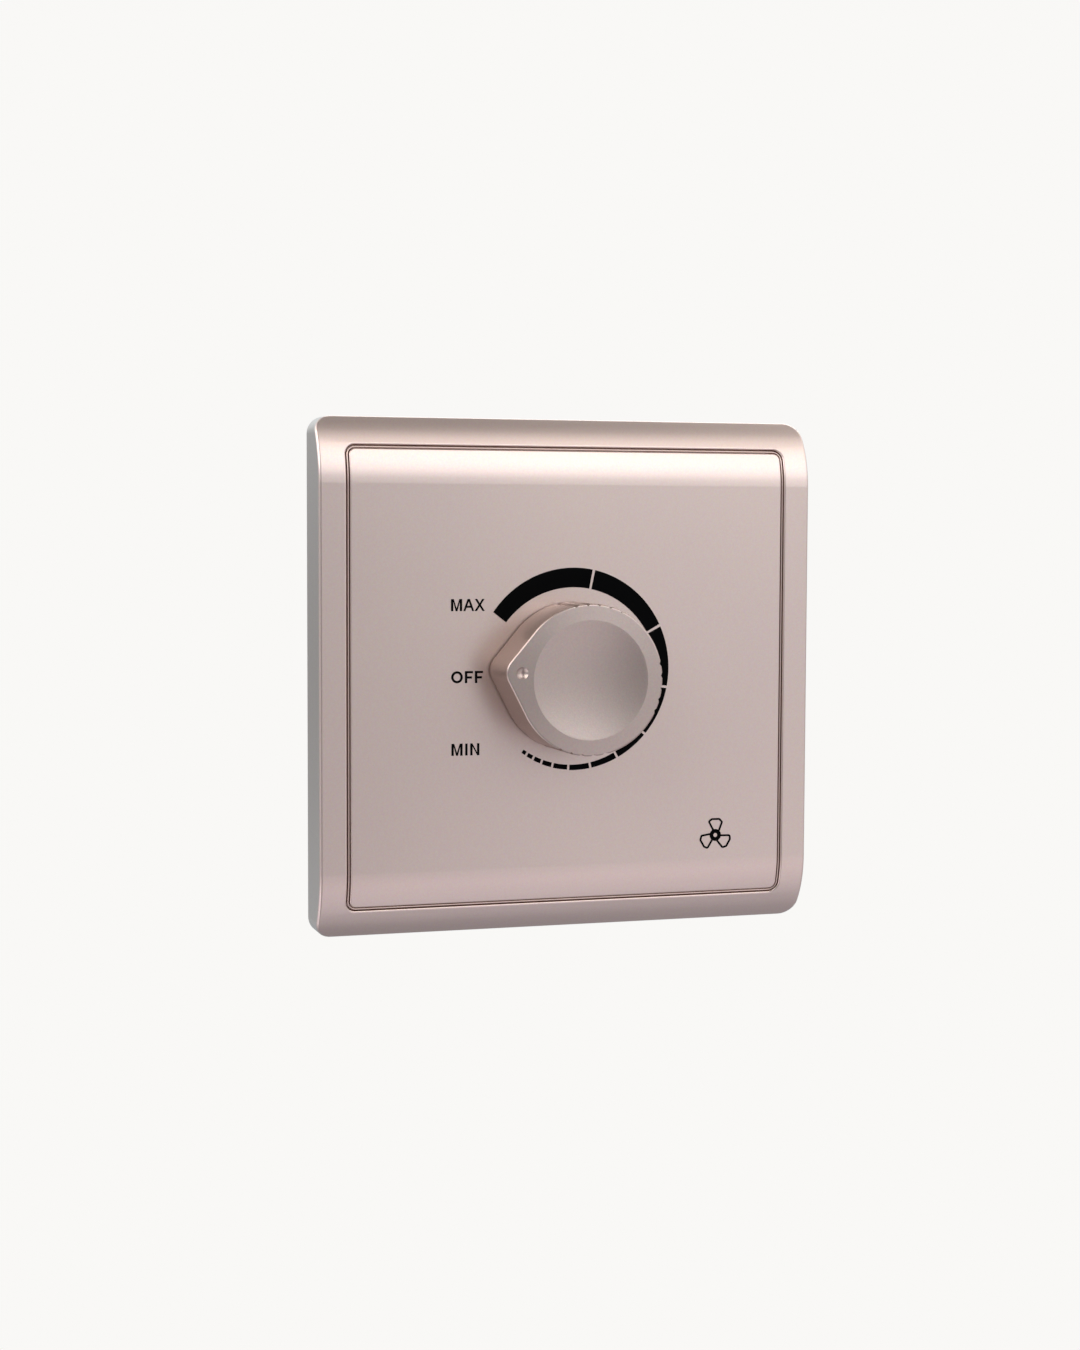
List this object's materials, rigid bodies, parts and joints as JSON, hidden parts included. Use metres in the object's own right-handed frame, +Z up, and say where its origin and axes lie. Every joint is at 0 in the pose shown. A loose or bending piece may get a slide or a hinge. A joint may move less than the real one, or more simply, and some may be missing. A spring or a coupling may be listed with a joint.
{
  "type": "fan speed control switch",
  "caption": "Square wall plate with a rotary knob that switches a ceiling fan on and off and sets its speed.",
  "frame": {"origin": "centre of the two wall screws on the wall plane, which is also on the knob's axis", "axes": "+Y into the wall, +X right and +Z up as seen from the front; the front faces -Y"},
  "size_m": [0.086, 0.0495, 0.086],
  "materials": {
    "rose_gold_paint": "satin champagne rose metallic paint on ABS",
    "black_ink": "black pad-printed ink",
    "spring_steel": "bright spring steel",
    "aluminium": "turned or folded aluminium",
    "brass": "plain brass",
    "nickel_steel": "nickel-plated steel",
    "phenolic": "brown phenolic laminate",
    "black_nylon": "black nylon",
    "white_polycarbonate": "moulded white polycarbonate",
    "black_abs": "moulded black flame-retardant nylon",
    "board_laminate": "paper-phenolic circuit board",
    "epoxy_black": "moulded black epoxy",
    "capacitor_yellow": "yellow plastic case",
    "capacitor_green": "dipped green film capacitor",
    "ferrite": "sintered ferrite",
    "enamelled_copper": "enamelled copper wire",
    "fuse_glass": "glass tube",
    "diac_glass": "sealed glass bead",
    "resistor_lacquer": "beige lacquer",
    "terminal_plastic": "moulded green polyamide"
  },
  "bodies": {
    "base": {"outer_frame": "rose_gold_paint", "center_panel": "rose_gold_paint", "speed_scale_print": "black_ink", "fan_symbol_print": "black_ink", "potentiometer_bush": "brass", "potentiometer_washer": "nickel_steel", "potentiometer_nut": "nickel_steel", "potentiometer_case": "nickel_steel", "resistance_wafer": "phenolic", "potentiometer_pins": "nickel_steel", "switch_case": "phenolic", "switch_contact": "brass", "switch_pins": "nickel_steel", "triac": "epoxy_black", "heat_sink": "aluminium", "triac_screw": "nickel_steel", "suppression_capacitor": "capacitor_yellow", "timing_capacitor": "capacitor_green", "choke_core": "ferrite", "choke_winding": "enamelled_copper", "fuse": "fuse_glass", "diac": "diac_glass", "resistors": "resistor_lacquer", "terminal_block": "terminal_plastic", "terminal_clamps": "brass", "terminal_screws": "nickel_steel", "circuit_board": "board_laminate", "mounting_frame": "white_polycarbonate", "rear_housing": "black_abs", "housing_screws": "nickel_steel"},
    "knob_assembly": {"knob": "rose_gold_paint", "knob_clip": "spring_steel", "potentiometer_shaft": "aluminium", "wiper_carrier": "black_nylon", "wiper_contact": "brass", "switch_cam": "black_nylon"}
  },
  "joints": [
    {"name": "knob_turn", "type": "hinge", "parent": "base", "child": "knob_assembly", "pos_m": [0, 0, 0], "axis": [0, 1, 0], "range_deg": [-6.5, 299]}
  ]
}
